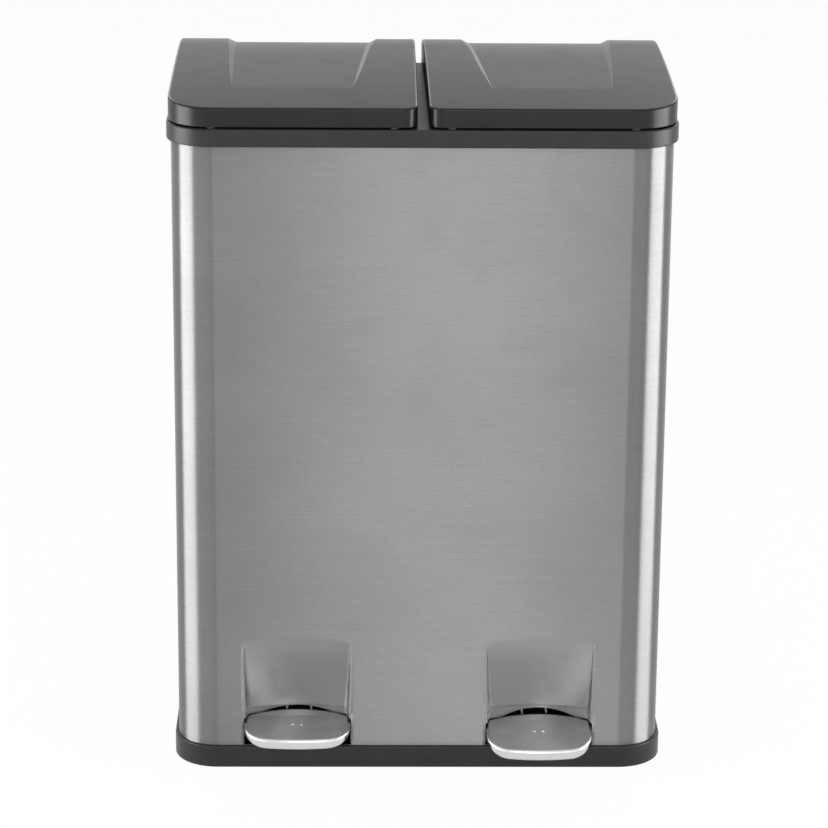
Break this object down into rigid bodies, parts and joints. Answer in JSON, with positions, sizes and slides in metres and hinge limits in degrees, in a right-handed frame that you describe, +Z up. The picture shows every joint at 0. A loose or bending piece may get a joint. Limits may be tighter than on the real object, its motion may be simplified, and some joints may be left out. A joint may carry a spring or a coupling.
{
  "type": "double recycling bin",
  "caption": "Freestanding steel recycling bin with side-by-side lift-out buckets under hinged lids, each lid lifted by a rod from its own foot pedal.",
  "frame": {"origin": "on the floor, under the middle of the whole bin's plan, pedals included", "axes": "+X to the right seen from the front, +Y to the back, +Z up; the pedals face -Y"},
  "size_m": [0.475, 0.37, 0.6654],
  "materials": {
    "sleeve_steel": "fine horizontal brushing",
    "pedal_steel": "brushed, polished rim",
    "plated_steel": "zinc plated",
    "black_moulding": "satin",
    "lid_moulding": "satin with a fine grain",
    "bucket_moulding": "satin",
    "grey_moulding": "satin",
    "rubber": "matte"
  },
  "bodies": {
    "housing": {"steel_sleeve": "sleeve_steel", "base_tray": "black_moulding", "rubber_feet": "rubber", "top_collar": "black_moulding", "lid_bumpers": "rubber", "guide_rivets": "plated_steel", "hinge_pin_left": "plated_steel", "rod_guide_left": "grey_moulding", "axle_bracket_left": "plated_steel", "lever_axle_left": "plated_steel", "axle_push_nuts_left": "plated_steel", "bracket_screws_left": "plated_steel", "hinge_pin_right": "plated_steel", "rod_guide_right": "grey_moulding", "axle_bracket_right": "plated_steel", "lever_axle_right": "plated_steel", "axle_push_nuts_right": "plated_steel", "bracket_screws_right": "plated_steel"},
    "left_lid": {"lid_left": "lid_moulding", "lift_crank_left": "plated_steel", "crank_pin_left": "plated_steel", "crank_screws_left": "plated_steel"},
    "left_rod": {"push_rod_left": "plated_steel", "rod_head_left": "grey_moulding", "rod_foot_left": "grey_moulding"},
    "left_pedal": {"pedal_plate_left": "pedal_steel", "pedal_rivets_left": "plated_steel", "pedal_lever_left": "plated_steel"},
    "left_bucket": {"inner_bucket_left": "bucket_moulding"},
    "right_lid": {"lid_right": "lid_moulding", "lift_crank_right": "plated_steel", "crank_pin_right": "plated_steel", "crank_screws_right": "plated_steel"},
    "right_rod": {"push_rod_right": "plated_steel", "rod_head_right": "grey_moulding", "rod_foot_right": "grey_moulding"},
    "right_pedal": {"pedal_plate_right": "pedal_steel", "pedal_rivets_right": "plated_steel", "pedal_lever_right": "plated_steel"},
    "right_bucket": {"inner_bucket_right": "bucket_moulding"}
  },
  "joints": [
    {"name": "left_lid_hinge", "type": "hinge", "parent": "housing", "child": "left_lid", "pos_m": [-0.117, 0.173, 0.6369], "axis": [-1, 0, 0], "range_deg": [0, 80]},
    {"name": "left_rod_slide", "type": "slide", "parent": "housing", "child": "left_rod", "axis": [0, 0, 1], "range_m": [0, 0.0232]},
    {"name": "left_pedal_hinge", "type": "hinge", "parent": "housing", "child": "left_pedal", "pos_m": [-0.117, -0.056, 0.03266], "axis": [1, 0, 0], "range_deg": [0, 6.3]},
    {"name": "left_bucket_lift", "type": "slide", "parent": "housing", "child": "left_bucket", "axis": [0, 0, 1], "range_m": [0, 0.01]},
    {"name": "right_lid_hinge", "type": "hinge", "parent": "housing", "child": "right_lid", "pos_m": [0.117, 0.173, 0.6369], "axis": [-1, 0, 0], "range_deg": [0, 80]},
    {"name": "right_rod_slide", "type": "slide", "parent": "housing", "child": "right_rod", "axis": [0, 0, 1], "range_m": [0, 0.0232]},
    {"name": "right_pedal_hinge", "type": "hinge", "parent": "housing", "child": "right_pedal", "pos_m": [0.117, -0.056, 0.03266], "axis": [1, 0, 0], "range_deg": [0, 6.3]},
    {"name": "right_bucket_lift", "type": "slide", "parent": "housing", "child": "right_bucket", "axis": [0, 0, 1], "range_m": [0, 0.01]}
  ],
  "couplings": [
    {"joint": "left_rod_slide", "follows": "left_lid_hinge", "m_per_rad": 0.016573},
    {"joint": "left_pedal_hinge", "follows": "left_lid_hinge", "ratio": 0.077711},
    {"joint": "right_rod_slide", "follows": "right_lid_hinge", "m_per_rad": 0.016573},
    {"joint": "right_pedal_hinge", "follows": "right_lid_hinge", "ratio": 0.077711}
  ]
}
